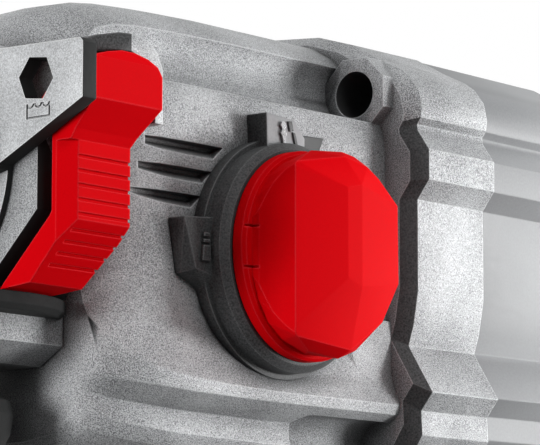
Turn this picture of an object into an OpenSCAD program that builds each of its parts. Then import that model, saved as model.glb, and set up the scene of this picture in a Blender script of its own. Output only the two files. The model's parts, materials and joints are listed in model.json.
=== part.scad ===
// Rotary hammer with an in-line motor, a D handle and a clamp-on side handle.
// Millimetres. X runs along the tool spindle from the nose to the rear, Z is up,
// and the mode selector is on the left side, towards -Y.
// The origin is the middle of the tool holder's mouth.

/* [Tool holder and spindle] */
// Bore that takes the tool shank
shank_bore_d = 10.1; // [9.6:0.1:11]
// Depth of the shank bore
shank_bore_depth = 52; // [46:1:54]
// Outer diameter of the spindle tube
spindle_d = 32; // [31:0.5:33]
// Bore of the spindle that guides the piston
piston_bore_d = 24.1; // [23:0.1:25]
// Outer diameter of the locking sleeve
sleeve_d = 40; // [38:1:44]
// Travel of the locking sleeve
sleeve_travel = 8; // [4:0.5:9]

/* [Gear housing] */
// Diameter of the neck that the side handle clamps
neck_d = 48; // [46:0.5:50]
// Half width of the gear housing at the selector
body_half_w = 36; // [35:0.5:38]
// Height of the gear housing's top above the spindle
body_top = 44; // [43:0.5:46]
// Wall of the gear housing
body_wall = 3.8; // [3.4:0.1:4.2]
// Rear end of the gear housing
body_end = 183; // [183:1:186]
// Radius of the driver channel along each upper edge
channel_r = 9.5; // [8.5:0.25:10]
// Diameter of the screw pockets in the flange
screw_pocket_d = 10.8; // [9.5:0.1:11.5]
// Number of louvres on each side
louvre_count = 3; // [2:1:4]
// Distance from one louvre to the next
louvre_pitch = 5.7; // [5.2:0.1:6.5]
// Length of the longest louvre
louvre_len = 23.5; // [18:0.5:26]

/* [Mode selector] */
// Diameter of the selector knob
knob_d = 46; // [42:0.5:47]
// Height of the knob above its collar
knob_h = 15; // [12:0.5:18]
// Outer diameter of the selector collar
collar_d = 50.4; // [49:0.2:53]
// Height of the collar above the housing side
collar_h = 8.5; // [7:0.25:10]
// Width of the grip block across the knob
grip_w = 32.4; // [28:0.4:34]
// Length of the label plate that points at the knob
tab_len = 8.5; // [7:0.5:11]

/* [Side handle] */
// Thickness of the side handle's clamp body along the neck
clamp_len = 28; // [26:0.5:29]
// Width across flats of the depth gauge hole
gauge_af = 8.4; // [7:0.1:9]
// Travel of the gauge release button
button_travel = 3; // [2:0.25:3.5]
// Number of grip ribs on the release button
button_ribs = 9; // [5:1:11]
// Length of the side grip
side_grip_len = 122; // [100:1:140]
// Diameter of the side grip
side_grip_d = 34; // [30:0.5:36]

/* [Motor and handle] */
// Length of the motor housing
motor_len = 89; // [86:1:96]
// Diameter of the armature core
armature_d = 48.4; // [46:0.2:48.6]
// Width of the D handle's section
handle_w = 34; // [30:0.5:38]
// Depth of the D handle's section
handle_t = 31; // [28:0.5:33]
// Length of the straight part of the hand grip
hand_grip_len = 78; // [74:1:90]
// Wall of the handle shells
shell_wall = 3; // [2.4:0.1:3.4]
// Travel of the trigger
trigger_travel = 6; // [4:0.5:7]

/* [Hidden] */
$fn = 72;

// Clearances
fit_gap = 0.02;      // between pieces of one body that are pressed or seated together
run_gap = 0.06;      // radial gap of a shaft that turns or slides in its bearing
seat_gap = 0.3;      // between curved faces of pieces that move apart
eps = 0.01;

// Stations along the spindle
neck_start = 56;
body_start = 92;
flange_len = 28;
flange_end = body_end + flange_len;
motor_end = flange_end + motor_len;

// Colours
casing_grey = "#8e9193";
motor_grey = "#b3b5b7";
dark_grey = "#3d3e40";
rubber_black = "#232426";
signal_red = "#df0c18";
steel = "#a9adb0";
copper = "#b5713d";
brass = "#b79a55";

// ---------- helpers ----------

// A 2D shape drawn in (y, z), pulled along X from x0 to x1
module along_x(x0, x1) {
    translate([x0, 0, 0]) rotate([90, 0, 90]) linear_extrude(x1 - x0) children();
}

// A 2D shape drawn in (x, z), pulled along Y from y0 to y1
module along_y(y0, y1) {
    translate([0, y1, 0]) rotate([90, 0, 0]) linear_extrude(y1 - y0) children();
}

module rod_x(x0, x1, r, y = 0, z = 0) {
    translate([x0, y, z]) rotate([0, 90, 0]) cylinder(h = x1 - x0, r = r);
}

module ring_x(x0, x1, r_out, r_in, y = 0, z = 0) {
    difference() {
        rod_x(x0, x1, r_out, y, z);
        rod_x(x0 - 1, x1 + 1, r_in, y, z);
    }
}

// A revolve about the spindle line: its outline is a list of [x, r]
module turned(outline) {
    rotate([0, 90, 0]) rotate([0, 0, 90]) rotate_extrude()
        polygon([for (p = outline) [p[1], p[0]]]);
}

module rod_y(y0, y1, r, x, z) {
    translate([x, y0, z]) rotate([-90, 0, 0]) cylinder(h = y1 - y0, r = r);
}

module box(lo, hi) {
    translate(lo) cube(hi - lo);
}

module both_sides() {
    children();
    mirror([0, 1, 0]) children();
}

// Closed skin through sections that hold the same number of points. Each section runs
// from its top down one flank and up the other, in pairs of points at equal height,
// so its end faces are drawn as level strips.
module loft(sections) {
    n = len(sections[0]);
    m = len(sections);
    last = (m - 1) * n;
    polyhedron(
        points = [for (s = sections) each s],
        faces = concat(
            [[n - 1, 1, 0], [n / 2 - 1, n / 2 + 1, n / 2]],
            [[last, last + 1, last + n - 1], [last + n / 2, last + n / 2 + 1, last + n / 2 - 1]],
            [for (i = [1:n / 2 - 2]) each [[i, n - i, i + 1], [i + 1, n - i, n - i - 1]]],
            [for (i = [1:n / 2 - 2]) each [
                [last + i + 1, last + n - i, last + i], [last + n - i - 1, last + n - i, last + i + 1]]],
            [for (j = [0:m - 2]) for (i = [0:n - 1])
                [j * n + i, j * n + (i + 1) % n, (j + 1) * n + i]],
            [for (j = [0:m - 2]) for (i = [0:n - 1])
                [(j + 1) * n + i, j * n + (i + 1) % n, (j + 1) * n + (i + 1) % n]]
        )
    );
}

// Half outline [n, z] from the top middle to the bottom middle, made whole, or closed
// along the middle plane when other = 0. Both end points lie on that plane and are kept once.
function whole(half, other = -1) = concat(
    half,
    [for (i = [len(half) - 2:-1:1]) [other * half[i][0], half[i][1]]]
);

// Section at x: the half outline widened by kw and heightened by kz
function section(x, half, kw, kz) = [
    for (p = whole(half)) [x, p[0] * kw, p[1] * kz]
];

// Straight-sided gear: [teeth, module, thickness share at the pitch circle]
function gear_outline(teeth, m, share) = [
    for (i = [0:teeth - 1]) let (step = 360 / teeth, a = i * step, half = step * share / 2)
        each [
            for (c = [[-half * 1.45, -1], [-half * 0.5, 0.8], [half * 0.5, 0.8], [half * 1.45, -1]])
                let (r = m * teeth / 2 + c[1] * m) [r * cos(a + c[0]), r * sin(a + c[0])]
        ]
];

// ---------- gear housing ----------

// Outer half outline of the gear housing at full size
housing_bottom = -62;
ridge_n = body_half_w + 4;
function housing_half() = [
    [0, body_top], [9, body_top - 0.4], [15, body_top - 2], [20, body_top - 5],
    [25, body_top - 9.6], [30, body_top - 15], [body_half_w - 2, body_top - 20.5],
    [body_half_w - 0.5, body_top - 25], [body_half_w, body_top - 29], [body_half_w, 0],
    [body_half_w, -26], [body_half_w + 0.4, -32], [body_half_w + 2.2, -39], [ridge_n, -43.2],
    [ridge_n - 0.6, -45.4],
    [body_half_w + 0.3, -47.6], [body_half_w - 2.2, -49], [body_half_w - 1.6, -51.5],
    [body_half_w - 1.2, -54], [body_half_w - 3, -57.2], [26, -60.2], [14, -61.7],
    [0, housing_bottom]
];
// Inner half outline: it stays inside the driver channels
function cavity_half() = [
    [0, body_top - body_wall], [11, body_top - body_wall - 1.2], [16, body_top - body_wall - 4],
    [18, 30], [20, 23], [26, 17.8], [body_half_w - body_wall, 14],
    [body_half_w - body_wall, -30], [body_half_w - body_wall, -34],
    [25, -40.5], [24.8, -52], [22, housing_bottom + body_wall + 1.4], [0, housing_bottom + body_wall]
];
// [distance behind the housing's front, width factor, height factor, belly's height factor]
shoulder_steps = [
    [0, 0.70, 0.69, 0.90], [1.6, 0.785, 0.78, 0.935], [4.5, 0.87, 0.865, 0.955],
    [9, 0.945, 0.925, 0.97], [14, 0.985, 0.955, 0.98], [21, 1, 0.975, 0.99],
    [32, 1, 0.99, 0.995], [47, 1, 1, 1]
];
belly_z = -44;

module housing_outer() {
    loft(concat(
        [for (s = shoulder_steps) [for (p = whole(housing_half()))
            [body_start + s[0], p[0] * s[1], p[1] * (p[1] < belly_z ? s[3] : s[2])]]],
        [section(body_end, housing_half(), 1, 1)]
    ));
}

cavity_start = body_start + 7;
module housing_cavity() {
    loft(concat(
        [for (s = shoulder_steps) if (s[0] > 7)
            section(body_start + s[0], cavity_half(), s[1], s[2])],
        [section(body_end + 1, cavity_half(), 1, 1)]
    ));
}

// Screw pockets: four corners of the flange
pocket_n = 29.7;
pocket_top_z = body_top - 15;
pocket_low_z = -44;

// Driver channel along an upper edge of the housing
channel_start = body_start + 10;
module driver_channel() {
    translate([channel_start, -pocket_n - 0.8, pocket_top_z + 1.5]) {
        rotate([0, 90, 0]) cylinder(h = body_end, r = channel_r);
        sphere(r = channel_r);
    }
}

// Louvres: each is a wedge, deep at its top edge and flush at its lower edge
louvre_x0 = body_start + 10.5;
louvre_top_z = 9;
louvre_h = 2.9;
louvre_depth = body_wall - 0.6;
module louvre(i) {
    x1 = louvre_x0 + louvre_len - i * 3.6;
    z1 = louvre_top_z - i * louvre_pitch;
    translate([0, -body_half_w, z1])
        intersection() {
            along_x(louvre_x0 - i * 1.6, x1)
                polygon([[-3, 0], [louvre_depth, 0], [louvre_depth, -0.9], [0, -louvre_h], [-3, -louvre_h]]);
            along_y(-5, 5)
                polygon([[0, 1], [x1, 1], [x1, 0], [x1 - 3.4, -louvre_h], [0, -louvre_h - 1]]);
        }
}

// The selector's place on the left side
knob_x = body_start + 50;
knob_z = -14;
mode_shaft_r = 7;
neck_bore_r = spindle_d / 2 + 4;
layshaft_z = -33;
layshaft_r = 6;
lay_bearing_r = 8;
lay_seat_x = cavity_start - 5;

// Chunky boss round an upper screw pocket, from x0 to x1
boss_r = screw_pocket_d / 2 + 3.8;
module pocket_boss(x0, x1, gap = 0) {
    translate([x0, -pocket_n, pocket_top_z]) rotate([0, 90, 0]) rotate(22.5)
        cylinder(h = x1 - x0, r = boss_r + gap, $fn = 8);
}

// Low driver channel, and the step that leads to the flange's lower block
low_channel = [58, 34.5, -52.5];
module low_driver_channel() {
    translate([body_start + low_channel[0] + 6, -low_channel[1], low_channel[2]]) {
        rotate([0, 90, 0]) cylinder(h = body_end, r = 6);
        sphere(r = 6);
    }
}
step_rise = 1.4;
module rear_step() {
    x0 = body_end - 16;
    hull() {
        along_y(-body_half_w, -body_half_w + 2)
            polygon([[x0 - 3, -24], [x0, -33.3], [x0 + 5.8, -43], [body_end, -43], [body_end, -24]]);
        along_y(-body_half_w - step_rise, -body_half_w)
            polygon([[x0 - 0.6, -24], [x0 + 2.4, -33.3], [x0 + 7.6, -42.2], [body_end, -42.2],
                [body_end, -24]]);
    }
}

module gear_housing() {
    color(casing_grey) difference() {
        union() {
            housing_outer();
            both_sides() rear_step();
            rod_x(neck_start, body_start + 4, neck_d / 2);
            rod_x(neck_start, neck_start + 3, neck_d / 2 + 1.4);
        }
        housing_cavity();
        rod_x(neck_start - 1, cavity_start + 4, neck_bore_r);
        rod_x(lay_seat_x, cavity_start + 4, lay_bearing_r + fit_gap, 0, layshaft_z);
        // spot face under the selector collar
        rod_y(-body_half_w - 8, -body_half_w, collar_d / 2 + ring_over + fit_gap, knob_x, knob_z);
        both_sides() driver_channel();
        both_sides() low_driver_channel();
        both_sides() pocket_boss(body_end - 3.5, body_end + 1, fit_gap);
        // recessed mark that the knob is read against
        along_y(-body_half_w - 1, -body_half_w + 0.9)
            polygon([[knob_x + 9, 14.8], [knob_x + 15, 14.4], [knob_x + 13.5, 11.2], [knob_x + 10.6, 11.2]]);
        both_sides() for (i = [0:louvre_count - 1]) louvre(i);
        rod_y(-body_half_w - 3, -body_half_w + body_wall + 3, mode_shaft_r + run_gap, knob_x, knob_z);
        for (s = [-1, 1])
            rod_x(body_end - 12, body_end + 1, 2.5, s * pocket_n, pocket_low_z);
    }
}

// ---------- flange housing ----------

panel_n = body_half_w + 7;
function flange_half() = [
    [0, body_top + 2.5], [14, body_top + 1.4], [24, body_top - 1.6], [32, body_top - 6],
    [38.2, body_top - 9], [41, body_top - 11], [43.6, body_top - 14.5], [44.5, body_top - 18.6],
    [44.2, body_top - 21], [panel_n, body_top - 22.6], [panel_n + 0.2, 20],
    [panel_n + 3.4, 15.4], [panel_n + 3.4, 8.4], [panel_n, 4], [panel_n, -17],
    [panel_n - 1.4, -25], [panel_n - 2.8, -29.4], [panel_n - 1.6, -31.5],
    [panel_n + 4, -40.4], [panel_n + 0.7, -44.5], [panel_n + 1, -50],
    [panel_n - 3, -56], [30, -61.4], [15, -63.6], [0, -64]
];
flange_chamfer = 3;
module flange_housing() {
    inset_w = 1 - flange_chamfer / panel_n;
    inset_z = 1 - flange_chamfer * 0.7 / body_top;
    color(casing_grey) difference() {
        union() {
            loft([
                section(body_end, flange_half(), inset_w, inset_z),
                section(body_end + flange_chamfer, flange_half(), 1, 1),
                section(flange_end, flange_half(), 1, 1)
            ]);
            both_sides() pocket_boss(body_end - 3.4, body_end + 6);
        }
        rod_x(body_end + 3, flange_end + 1, bracket_r + fit_gap, 0, motor_z);
        rod_x(body_end + 3, body_end + 11.2, lay_hub_r + fit_gap, 0, layshaft_z);
        along_x(body_end - 1, body_end + 4) polygon([
            for (p = whole(cavity_half())) [p[0], p[1]]
        ]);
        both_sides() {
            rod_x(body_end - 4, flange_end - 8, screw_pocket_d / 2, -pocket_n, pocket_top_z);
            rod_x(body_end - 1, flange_end + 1, 2.5, -pocket_n, pocket_top_z);
            rod_x(body_end - 1, flange_end + 1, 2.5, -pocket_n, pocket_low_z);
        }
    }
}

// ---------- motor housing ----------

motor_z = -5.5;
lay_hub_r = 11;
motor_bore_r = panel_n - 3.6;
bracket_r = motor_bore_r - 3.9;
rear_hub_r = 15;
rear_bearing_r = 11;
module motor_housing() {
    tail = 12;
    color(motor_grey) difference() {
        union() {
            difference() {
                loft([
                    section(flange_end, flange_half(), 0.993, 0.993),
                    section(flange_end + 48, flange_half(), 0.99, 0.985),
                    section(flange_end + 51, flange_half(), 0.98, 0.96),
                    section(motor_end - tail, flange_half(), 0.97, 0.935),
                    section(motor_end, flange_half(), 0.93, 0.92)
                ]);
                rod_x(flange_end - 1, motor_end - 8, motor_bore_r, 0, motor_z);
            }
            intersection() {
                union() {
                    rod_x(motor_end - 20, motor_end - 7, rear_hub_r, 0, motor_z);
                    for (a = [45, 135])
                        translate([0, 0, motor_z]) rotate([a, 0, 0])
                            box([motor_end - 18, -2, -motor_bore_r - 1], [motor_end - 7, 2, motor_bore_r + 1]);
                }
                rod_x(motor_end - 21, motor_end - 6, motor_bore_r + 1, 0, motor_z);
            }
        }
        rod_x(motor_end - 21, motor_end - 10, rear_bearing_r + fit_gap, 0, motor_z);
        both_sides() for (i = [0:6])
            box([motor_end - 50 + i * 4.6, -panel_n - 6, -22],
                [motor_end - 47.8 + i * 4.6, -30, 2]);
        both_sides() {
            rod_x(flange_end - 1, flange_end + 14, 2.5, -pocket_n, pocket_top_z);
            rod_x(flange_end - 1, flange_end + 14, 2.5, -pocket_n, pocket_low_z);
        }
    }
}

// Screws: shank in the housings, head on the pocket's floor
module socket_screw(x_head, len, r_head, r_shank, y, z) {
    difference() {
        union() {
            rod_x(x_head - 4, x_head, r_head, y, z);
            rod_x(x_head - 1, x_head + len, r_shank, y, z);
        }
        translate([x_head - 5, y, z]) rotate([0, 90, 0]) cylinder(h = 3.2, r = 2, $fn = 6);
    }
}
module housing_screws() {
    color(steel) both_sides() {
        socket_screw(flange_end - 8 - fit_gap, 18, 4.2, 2.4, -pocket_n, pocket_top_z);
        rod_x(body_end - 10, flange_end + 12, 2.4, -pocket_n, pocket_low_z);
    }
}

// ---------- mode selector ----------

side_y = -body_half_w;
collar_top = body_half_w + collar_h;
ring_over = 1.2;
module selector_collar() {
    recess_r = knob_d / 2 - 6;
    tab_x = knob_x - collar_d / 2 - tab_len;
    color(dark_grey) difference() {
        union() {
            translate([knob_x, side_y - fit_gap, knob_z]) rotate([90, 0, 0]) {
                cylinder(h = 3, r = collar_d / 2 + ring_over);
                cylinder(h = collar_h - 1.6, r = collar_d / 2);
                translate([0, 0, collar_h - 1.6])
                    cylinder(h = 1.6, r1 = collar_d / 2, r2 = collar_d / 2 - 1.6);
            }
            // block at nine o'clock, its lower side sloping out to the housing
            hull() {
                along_y(side_y - 1.4, side_y - fit_gap) polygon([
                    [tab_x, knob_z + 5.8], [knob_x - 18, knob_z + 7], [knob_x - 18, knob_z - 11],
                    [tab_x + 9.6, knob_z - 9], [tab_x + 2.3, knob_z - 5.8]
                ]);
                along_y(side_y - 4.4, side_y - 1.3) polygon([
                    [tab_x + 0.2, knob_z + 5.8], [knob_x - 18, knob_z + 7], [knob_x - 18, knob_z - 7],
                    [tab_x + 4, knob_z - 5]
                ]);
            }
            // plate at twelve o'clock
            along_y(side_y - 5.6, side_y - fit_gap) polygon([
                [knob_x - 7.5, knob_z + 18], [knob_x - 8, knob_z + collar_d / 2 + 6.2],
                [knob_x + 1.5, knob_z + collar_d / 2 + 5.6], [knob_x + 5, knob_z + collar_d / 2 + 2],
                [knob_x + 5, knob_z + 18]
            ]);
        }
        rod_y(-body_half_w - 20, -body_half_w + 2, mode_shaft_r + run_gap, knob_x, knob_z);
        translate([knob_x, -body_half_w - 1.5, knob_z]) rotate([90, 0, 0])
            cylinder(h = 20, r = recess_r);
    }
}

// Grip block of the knob: a broad flank up to a narrow ridge, a short flank behind it,
// corners cut off slantwise, and a finger scoop along the front
edge_u = grip_w / 2;
module level(h, outline) {
    translate([0, 0, h]) linear_extrude(eps) polygon(outline);
}
module knob_block() {
    scoop_r = 10;
    difference() {
        hull() {
            // foot on the disc, bounded in front by the rim
            level(knob_disc_h - 1, [
                [-20.6, 5], [-18.5, 10.5], [-15, 15.5], [-10, 19], [0, 21.6], [8, 20.2], [15, 15.5],
                [18.6, 10], [19.3, -6], [16, -13.5], [7, -20.4], [-2, -21.5], [-10, -19],
                [-15, -15.5], [-18.5, -10.5], [-20.6, -5]
            ]);
            level(knob_h - 6.5, [
                [-7, 21.8], [3.6, 22.8], [8, 22.2], [13, 19.2], [17, 16], [20, 12.8], [20.2, -5.6],
                [15, -15], [8, -20.4], [2, -22.6], [-8, -21.8]
            ]);
            // edges of the two flanks
            level(knob_h - 2.9, [
                [-edge_u - 1.2, 17], [-edge_u, 18], [0, 21], [8, 19.6], [12, 17.4], [18.6, 12.2],
                [18.8, -5], [13, -14], [2, -21], [-edge_u, -19.4], [-edge_u - 1.2, -18]
            ]);
            level(knob_h - 1.7, [[-10.6, 16.8], [-10.6, -17.3]]);
            level(knob_h, [[-2.4, 13.7], [2.5, 14.8], [2.4, -7.4], [-2.4, -6]]);
        }
        // finger scoop between the rim and the front edge
        translate([-26.8, 0, knob_h - 3.2]) rotate([90, 0, 0])
            cylinder(h = 2 * knob_d, r = scoop_r, center = true);
    }
}

knob_base = collar_top + seat_gap;
knob_disc_h = 3.2;
module mode_knob() {
    color(signal_red) translate([knob_x, -knob_base, knob_z]) rotate([90, 0, 0]) difference() {
        union() {
            cylinder(h = knob_disc_h - 0.8, r = knob_d / 2);
            translate([0, 0, knob_disc_h - 0.8])
                cylinder(h = 0.8, r1 = knob_d / 2, r2 = knob_d / 2 - 0.8);
            knob_block();
            translate([0, 0, -4]) cylinder(h = 4.5, r = knob_d / 2 - 6 - seat_gap);
        }
        // blind socket for the mode shaft
        translate([0, 0, -5]) cylinder(h = 12, r = mode_shaft_r - 1 + fit_gap);
        // pointer strip at nine o'clock
        for (s = [-1, 1])
            translate([-knob_d / 2 - 1, s * 4.4 - 0.25, knob_disc_h - 0.6]) cube([4.5, 0.5, 2]);
    }
}

module mode_shaft() {
    color(steel) {
        rod_y(-knob_base - 6.8, -knob_base + 4, mode_shaft_r - 1, knob_x, knob_z);
        rod_y(-knob_base + 4, -body_half_w + body_wall + 3.5, mode_shaft_r, knob_x, knob_z);
        rod_y(-body_half_w + body_wall + 3.5, -body_half_w + body_wall + 9, 2, knob_x + 4, knob_z);
    }
}

// ---------- spindle group ----------

holder_r = 13;
nose_r = 10;
nose_len = 9;
spindle_r = spindle_d / 2;
spindle_end = body_start + 46;
bolt_zone = shank_bore_depth + 22;
bolt_guide_r = 8.05;
sleeve_start = 12;
sleeve_len = neck_start - 6 - sleeve_start - sleeve_travel;
ball_x = sleeve_start + 4;   // the sleeve uncovers the balls when it is drawn back
module spindle() {
    color(steel) difference() {
        union() {
            rod_x(0, nose_len, nose_r);
            rod_x(nose_len, neck_start - 4, holder_r);
            rod_x(neck_start - 4, spindle_end, spindle_r);
        }
        rod_x(-1, shank_bore_depth, shank_bore_d / 2);
        rod_x(shank_bore_depth - eps, bolt_zone + eps, bolt_guide_r);
        rod_x(bolt_zone, spindle_end + 1, piston_bore_d / 2);
        // windows for the locking balls
        for (a = [0, 180]) rotate([a, 0, 0]) translate([ball_x, 0, 0])
            cylinder(h = holder_r + 1, r = 3.6);
    }
}

module locking_balls() {
    color(steel) for (a = [0, 180]) rotate([a, 0, 0]) translate([ball_x, 0, 9.2]) sphere(r = 3.5);
}

module dust_cap() {
    color(rubber_black) turned([
        [-3, shank_bore_d / 2 + 0.5], [-3, 8], [0, 11.8], [8, 16], [sleeve_start - seat_gap, 17.5],
        [sleeve_start - seat_gap, holder_r + fit_gap], [nose_len - fit_gap, holder_r + fit_gap],
        [nose_len - fit_gap, nose_r + fit_gap], [-fit_gap, nose_r + fit_gap],
        [-fit_gap, shank_bore_d / 2 + 0.5]
    ]);
}

module locking_sleeve() {
    color(dark_grey) difference() {
        turned([
            [sleeve_start, 17], [sleeve_start + 3, 18.5], [sleeve_start + 7, sleeve_d / 2 - 1.6],
            [sleeve_start + 20, sleeve_d / 2 - 2.4], [sleeve_start + 26, sleeve_d / 2],
            [sleeve_start + sleeve_len - 2, sleeve_d / 2], [sleeve_start + sleeve_len, sleeve_d / 2 - 2],
            [sleeve_start + sleeve_len, holder_r + 3.4], [sleeve_start + 19, holder_r + 3.4],
            [sleeve_start + 19, holder_r + run_gap], [sleeve_start, holder_r + run_gap]
        ]);
        for (a = [0:30:330]) rotate([a, 0, 0])
            translate([sleeve_start + 8, 0, sleeve_d / 2 + 1.2]) rotate([0, 90, 0])
                cylinder(h = 13, r = 2.6);
    }
}

module sleeve_spring() {
    x0 = sleeve_start + 19 + seat_gap;
    x1 = neck_start - 4 - fit_gap;
    color(steel) ring_x(x0, x1, holder_r + 2.6, holder_r + 0.8);
}

gear_teeth = 32;
pinion_teeth = 12;
drive_module = 2 * abs(layshaft_z) / (gear_teeth + pinion_teeth);
spindle_gear_x = body_start + 10;
module spindle_gear() {
    color(steel) difference() {
        along_x(spindle_gear_x, spindle_gear_x + 10)
            rotate(-90) polygon(gear_outline(gear_teeth, drive_module, 0.4));
        rod_x(spindle_gear_x - 1, spindle_gear_x + 11, spindle_r + fit_gap);
    }
}

module neck_bush() {
    color(brass) ring_x(neck_start + 6, neck_start + 26, neck_bore_r - fit_gap, spindle_r + run_gap);
}

module nose_seal() {
    color(rubber_black) ring_x(neck_start, neck_start + 5, neck_bore_r - fit_gap, spindle_r + run_gap);
}

frame_x = body_start + 27;
frame_t = 9;
spindle_bearing_r = spindle_r + 7;
module ball_bearing(x0, x1, r_out, r_in, z) {
    lip = (r_out - r_in) * 0.3;
    ring_x(x0, x1, r_out, r_out - lip, 0, z);
    ring_x(x0, x1, r_in + lip, r_in, 0, z);
    ring_x((x0 + x1) / 2 - 1, (x0 + x1) / 2 + 1, r_out - lip + eps, r_in + lip - eps, 0, z);
}
module spindle_bearing() {
    color(steel) ball_bearing(frame_x, frame_x + frame_t, spindle_bearing_r - fit_gap,
        spindle_r + run_gap, 0);
}

// Height factor of the frame: the cavity is a little lower there than further back
frame_kz = 0.98;
module inner_frame() {
    kw = 1 - fit_gap / (body_half_w - body_wall);
    color(casing_grey) difference() {
        along_x(frame_x, frame_x + frame_t)
            polygon([for (p = whole(cavity_half())) [p[0] * kw, p[1] * frame_kz]]);
        rod_x(frame_x - 1, frame_x + frame_t + 1, spindle_bearing_r);
        rod_x(frame_x - 1, frame_x + frame_t + 1, lay_bearing_r, 0, layshaft_z);
    }
}

// ---------- layshaft group ----------

lay_start = lay_seat_x + 0.4;
lay_end = body_end + 9;
lay_gear_x = body_end - 11;
wobble_x = body_start + 62;
wobble_r = 12.6;
lay_teeth = 37;
motor_teeth = 7;
motor_module = 2 * (motor_z - layshaft_z) / (lay_teeth + motor_teeth);
module layshaft() {
    color(steel) {
        rod_x(lay_start, lay_end, layshaft_r, 0, layshaft_z);
        translate([0, 0, layshaft_z]) along_x(spindle_gear_x - 0.6, spindle_gear_x + 12)
            rotate(90 + 180 / pinion_teeth) polygon(gear_outline(pinion_teeth, drive_module, 0.4));
    }
}
module layshaft_gear() {
    color(steel) difference() {
        translate([0, 0, layshaft_z]) along_x(lay_gear_x, lay_gear_x + 9)
            rotate(90) polygon(gear_outline(lay_teeth, motor_module, 0.4));
        rod_x(lay_gear_x - 1, lay_gear_x + 10, layshaft_r + fit_gap, 0, layshaft_z);
        for (a = [0:60:300]) translate([0, 0, layshaft_z]) rotate([a, 0, 0])
            translate([lay_gear_x - 1, 0, 14.5]) rotate([0, 90, 0]) cylinder(h = 11, r = 3.4);
    }
}
module clutch_sleeve() {
    color(steel) ring_x(frame_x + frame_t + 1, wobble_x - 9, 10.5, layshaft_r + fit_gap, 0, layshaft_z);
}
module wobble_drum() {
    color(steel) difference() {
        intersection() {
            translate([wobble_x, 0, layshaft_z]) sphere(r = wobble_r);
            rod_x(wobble_x - 6, wobble_x + 6, wobble_r + 1, 0, layshaft_z);
        }
        rod_x(wobble_x - 7, wobble_x + 7, layshaft_r + fit_gap, 0, layshaft_z);
    }
}
pin_r = 4;
finger_r = 2.2;
module wobble_ring() {
    color(steel) difference() {
        union() {
            rod_x(wobble_x - 4, wobble_x + 4, wobble_r + 5, 0, layshaft_z);
            translate([wobble_x, 0, layshaft_z]) cylinder(h = abs(layshaft_z) + 2.5, r = finger_r);
        }
        translate([wobble_x, 0, layshaft_z]) sphere(r = wobble_r + seat_gap);
    }
}
module layshaft_bearings() {
    color(steel) {
        ring_x(lay_seat_x + 0.2, cavity_start, lay_bearing_r, layshaft_r + run_gap, 0, layshaft_z);
        ring_x(frame_x, frame_x + frame_t, lay_bearing_r - fit_gap, layshaft_r + run_gap, 0, layshaft_z);
        ring_x(body_end + 4, body_end + 10, lay_bearing_r - fit_gap, layshaft_r + run_gap, 0, layshaft_z);
    }
}

// ---------- striking mechanism ----------

piston_r = piston_bore_d / 2 - run_gap;
piston_start = body_start + 2;
piston_end = wobble_x + 6;
striker_r = 8.5;
module piston() {
    color(steel) difference() {
        rod_x(piston_start, piston_end, piston_r);
        rod_x(piston_start - 1, wobble_x - 8, striker_r + run_gap);
        rod_y(-piston_r - 1, piston_r + 1, pin_r + run_gap, wobble_x, 0);
        box([wobble_x - 4.8, -3.6, -piston_r - 1], [wobble_x + 4.8, 3.6, piston_r + 1]);
        box([wobble_x - 10, -10, -piston_r - 1], [piston_end + 1, 10, -5.5]);
    }
}
module piston_pin() {
    color(steel) difference() {
        rod_y(-piston_r + 1, piston_r - 1, pin_r, wobble_x, 0);
        translate([wobble_x, 0, -pin_r - 1]) cylinder(h = 2 * pin_r + 2, r = finger_r + seat_gap);
    }
}
module striker() {
    color(steel) {
        rod_x(piston_start + 4, wobble_x - 26, striker_r);
        rod_x(piston_start - 2, piston_start + 4, 5.5);
    }
}
module impact_bolt() {
    color(steel) {
        rod_x(shank_bore_depth + 2, bolt_zone - 2, bolt_guide_r - run_gap);
        rod_x(bolt_zone - 2, bolt_zone + 8, 6);
    }
}

// ---------- motor ----------

core_start = flange_end + 4;
core_end = core_start + 40;
stator_bore_r = armature_d / 2 + 0.7;
stator_r = motor_bore_r - fit_gap;
coil_out = stator_r - 7.58;
coil_half_z = 16.8;
module motor_shaft() {
    color(steel) {
        rod_x(body_end - 2, motor_end - 10.5, 5, 0, motor_z);
        translate([0, 0, motor_z]) along_x(lay_gear_x - 0.5, body_end - 1.5)
            rotate(-90 + 180 / motor_teeth) polygon(gear_outline(motor_teeth, motor_module, 0.4));
    }
}
module armature_core() {
    color(steel) difference() {
        rod_x(core_start, core_end, armature_d / 2, 0, motor_z);
        rod_x(core_start - 1, core_end + 1, 5 + fit_gap, 0, motor_z);
        for (a = [0:30:330]) translate([0, 0, motor_z]) rotate([a, 0, 0])
            box([core_start - 1, -0.9, armature_d / 2 - 6], [core_end + 1, 0.9, armature_d / 2 + 1]);
    }
}
comm_start = core_end + 9;
comm_len = 12;
comm_r = 13;
module commutator() {
    color(copper) difference() {
        rod_x(comm_start, comm_start + comm_len, comm_r, 0, motor_z);
        rod_x(comm_start - 1, comm_start + comm_len + 1, 5 + fit_gap, 0, motor_z);
    }
}
module cooling_fan() {
    x0 = body_end + 16;
    color(dark_grey) {
        ring_x(x0, x0 + 2, bracket_r - 3, 5 + fit_gap, 0, motor_z);
        ring_x(x0, x0 + 9, 9, 5 + fit_gap, 0, motor_z);
        for (a = [0:30:330]) translate([0, 0, motor_z]) rotate([a, 0, 0])
            box([x0 + 1.9, -0.8, 8.8], [x0 + 9, 0.8, bracket_r - 3.5]);
    }
}
module stator_core() {
    color(steel) difference() {
        rod_x(core_start, core_end, stator_r, 0, motor_z);
        rod_x(core_start - 1, core_end + 1, stator_bore_r, 0, motor_z);
        for (s = [-1, 1]) translate([0, 0, motor_z]) scale([1, s, 1])
            box([core_start - 1, 14, -coil_half_z - 0.2],
                [core_end + 1, coil_out + 0.2, coil_half_z + 0.2]);
    }
}
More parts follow.
